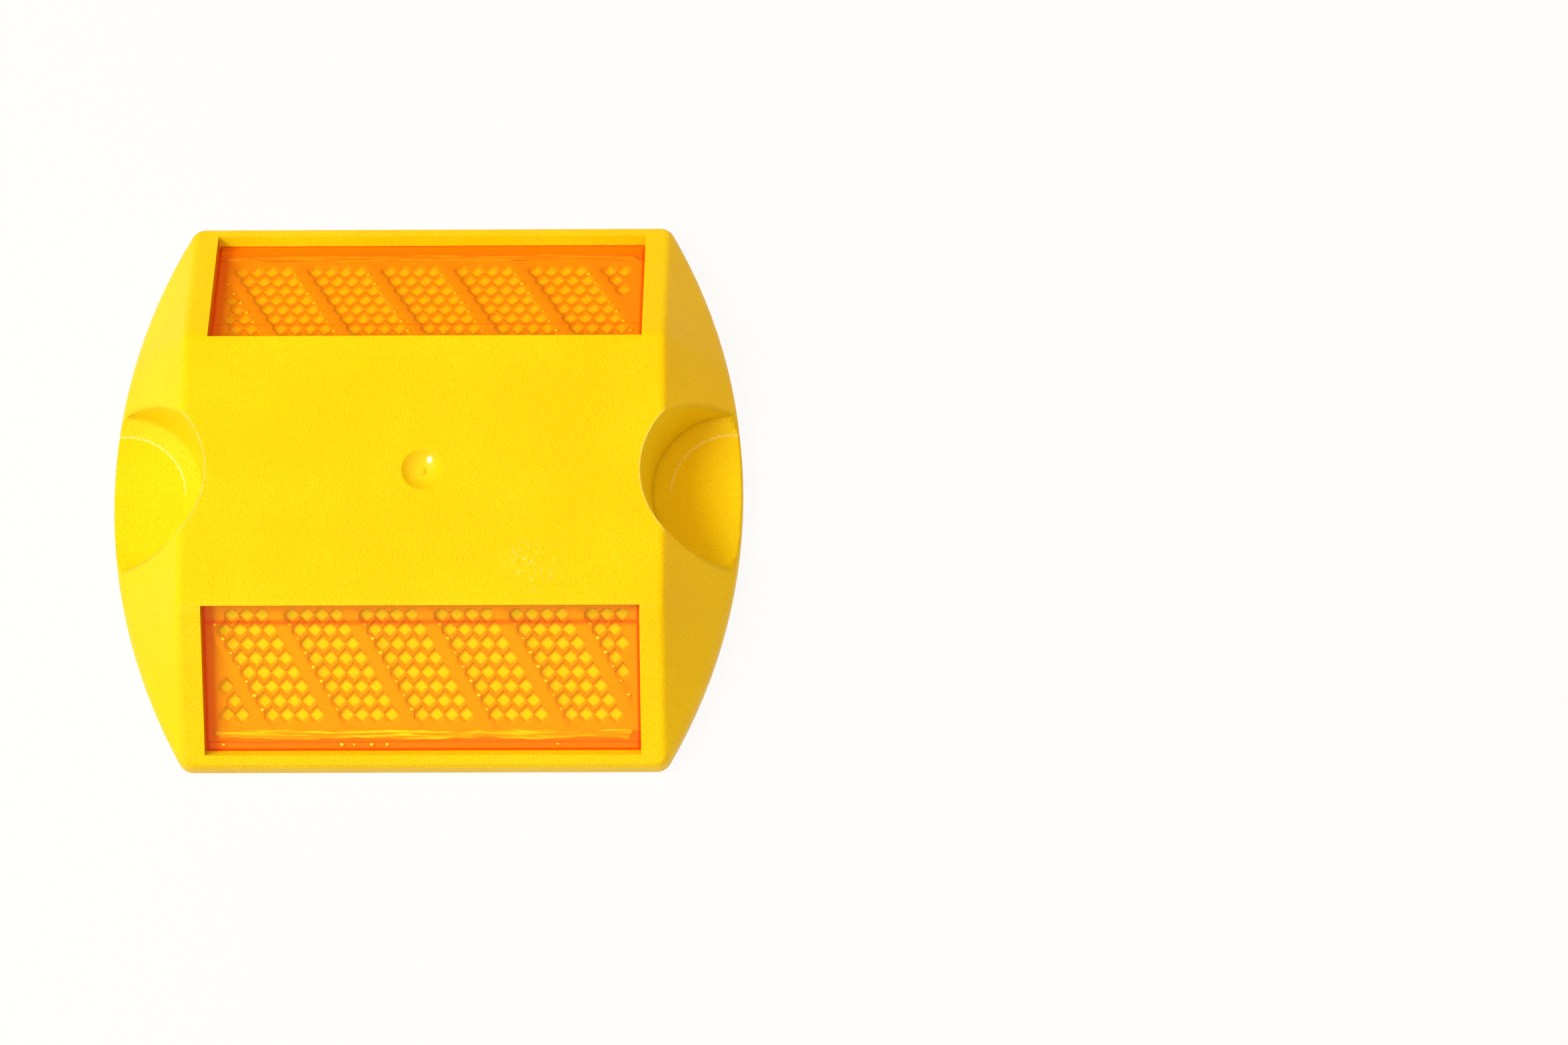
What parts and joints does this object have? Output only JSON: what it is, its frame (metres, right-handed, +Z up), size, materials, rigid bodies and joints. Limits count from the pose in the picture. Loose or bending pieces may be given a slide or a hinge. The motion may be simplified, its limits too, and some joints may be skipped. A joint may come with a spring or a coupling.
{
  "type": "road stud",
  "caption": "Raised road stud: a low yellow moulded body with sloped faces, a prismatic amber lens in each long face, finger scoops in its ends and a slotted underside for adhesive.",
  "frame": {"origin": "middle of the underside, in the plane of the smooth rim that stands on the road", "axes": "+X runs from one finger scoop to the other, +Z is up from the road, and the lens faces look along -Y (front) and +Y (rear)"},
  "size_m": [0.102, 0.091, 0.018],
  "materials": {
    "housing_yellow": "fine satin grain",
    "lens_amber": "clear tinted acrylic, polished"
  },
  "bodies": {
    "root": {"body": "housing_yellow", "lens_front": "lens_amber", "lens_rear": "lens_amber"}
  },
  "joints": []
}
